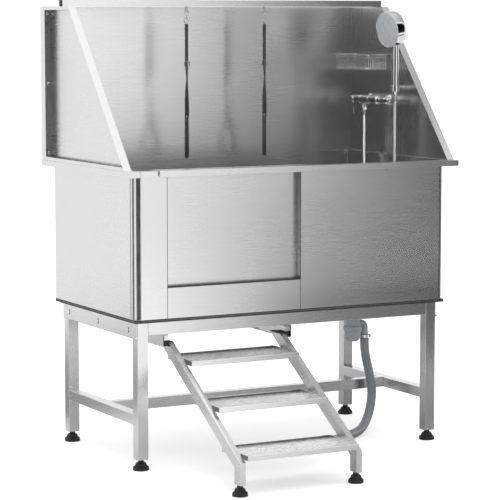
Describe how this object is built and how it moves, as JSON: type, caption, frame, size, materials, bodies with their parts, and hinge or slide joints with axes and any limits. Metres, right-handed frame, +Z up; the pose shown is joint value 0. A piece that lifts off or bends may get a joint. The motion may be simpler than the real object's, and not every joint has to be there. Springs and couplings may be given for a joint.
{
  "type": "pet bathtub",
  "caption": "Raised stainless steel pet washing tub with splash panels, a lift-out front door, a slide-away stair, a mixer with a hand shower, a wire basket, hanging leashes and a drain hose.",
  "frame": {"origin": "floor level, below the middle of the box that holds the tub with its stair pulled out", "axes": "+X along the tub to the end with the mixer, +Y from the door and stair to the back panel, +Z up"},
  "size_m": [1.27, 1.177, 1.5483],
  "materials": {
    "steel": "horizontally brushed",
    "chrome": "polished",
    "black_plastic": "matte moulded",
    "grey_plastic": "satin moulded",
    "webbing": "woven"
  },
  "bodies": {
    "tub": {"floor_pan": "steel", "skin_left": "steel", "skin_right": "steel", "skin_back": "steel", "rim_left": "steel", "rim_right": "steel", "rim_back": "steel", "rim_front_left": "steel", "rim_front_right": "steel", "jamb_left": "steel", "jamb_right": "steel", "sill_panel": "steel", "splash_left": "steel", "splash_right": "steel", "splash_back": "steel", "leash_bar": "steel", "leg_front_left": "steel", "leg_front_right": "steel", "leg_back_left": "steel", "leg_back_right": "steel", "front_rail": "steel", "back_rail": "steel", "side_plate_left": "steel", "side_plate_right": "steel", "side_stretcher_left": "steel", "side_stretcher_right": "steel", "centre_stretcher": "steel", "stair_rail_left": "steel", "stair_rail_right": "steel", "drain_hose_clamp": "steel", "mixer_body": "chrome", "holder_bracket": "chrome", "shower_hose": "chrome", "basket": "chrome", "drain_trap": "grey_plastic", "drain_hose": "grey_plastic"},
    "door": {"door_panel": "steel"},
    "stair": {"stringer_left": "steel", "stringer_right": "steel", "tread_top": "steel", "tread_middle": "steel", "tread_bottom": "steel", "stair_glide_left": "black_plastic", "stair_glide_right": "black_plastic"},
    "front_left_foot": {"foot_front_left": "black_plastic"},
    "front_right_foot": {"foot_front_right": "black_plastic"},
    "back_left_foot": {"foot_back_left": "black_plastic"},
    "back_right_foot": {"foot_back_right": "black_plastic"},
    "left_stair_foot": {"stair_foot_left": "black_plastic"},
    "right_stair_foot": {"stair_foot_right": "black_plastic"},
    "flow_knob": {"mixer_flow_knob": "chrome"},
    "temperature_lever": {"mixer_temperature_lever": "chrome"},
    "shower": {"holder_clip": "chrome", "handset": "chrome"},
    "strainer": {"drain_strainer": "steel"},
    "left_leash": {"leash_snap_left": "chrome", "leash_strap_left": "webbing"},
    "right_leash": {"leash_snap_right": "chrome", "leash_strap_right": "webbing"}
  },
  "joints": [
    {"name": "door_lift", "type": "slide", "parent": "tub", "child": "door", "axis": [0, 0, 1], "range_m": [0, 0.34]},
    {"name": "stair_slide", "type": "slide", "parent": "tub", "child": "stair", "axis": [0, 1, 0], "range_m": [0, 0.42]},
    {"name": "front_left_foot_turn", "type": "hinge", "parent": "tub", "child": "front_left_foot", "pos_m": [-0.56, -0.0515, 0.03], "axis": [0, 0, 1], "continuous": true},
    {"name": "front_right_foot_turn", "type": "hinge", "parent": "tub", "child": "front_right_foot", "pos_m": [0.56, -0.0515, 0.03], "axis": [0, 0, 1], "continuous": true},
    {"name": "back_left_foot_turn", "type": "hinge", "parent": "tub", "child": "back_left_foot", "pos_m": [-0.56, 0.5145, 0.03], "axis": [0, 0, 1], "continuous": true},
    {"name": "back_right_foot_turn", "type": "hinge", "parent": "tub", "child": "back_right_foot", "pos_m": [0.56, 0.5145, 0.03], "axis": [0, 0, 1], "continuous": true},
    {"name": "left_stair_foot_turn", "type": "hinge", "parent": "stair", "child": "left_stair_foot", "pos_m": [-0.455, -0.5535, 0.03], "axis": [0, 0, 1], "continuous": true},
    {"name": "right_stair_foot_turn", "type": "hinge", "parent": "stair", "child": "right_stair_foot", "pos_m": [-0.033, -0.5535, 0.03], "axis": [0, 0, 1], "continuous": true},
    {"name": "flow_turn", "type": "hinge", "parent": "tub", "child": "flow_knob", "pos_m": [0.555, 0.235, 1.19], "axis": [0, 1, 0], "range_deg": [0, 90]},
    {"name": "temperature_turn", "type": "hinge", "parent": "tub", "child": "temperature_lever", "pos_m": [0.555, 0.47, 1.19], "axis": [0, 1, 0], "range_deg": [-45, 45]},
    {"name": "shower_tilt", "type": "hinge", "parent": "tub", "child": "shower", "pos_m": [0.548, 0.1565, 1.236], "axis": [0.532, 0.8467, 0], "range_deg": [-15, 15]},
    {"name": "strainer_lift", "type": "slide", "parent": "tub", "child": "strainer", "axis": [0, 0, 1], "range_m": [0, 0.03]},
    {"name": "left_leash_swing", "type": "hinge", "parent": "tub", "child": "left_leash", "pos_m": [-0.157, 0.4095, 1.5183], "axis": [1, 0, 0], "range_deg": [-12, 12]},
    {"name": "right_leash_swing", "type": "hinge", "parent": "tub", "child": "right_leash", "pos_m": [0.154, 0.4095, 1.5183], "axis": [1, 0, 0], "range_deg": [-12, 12]}
  ]
}
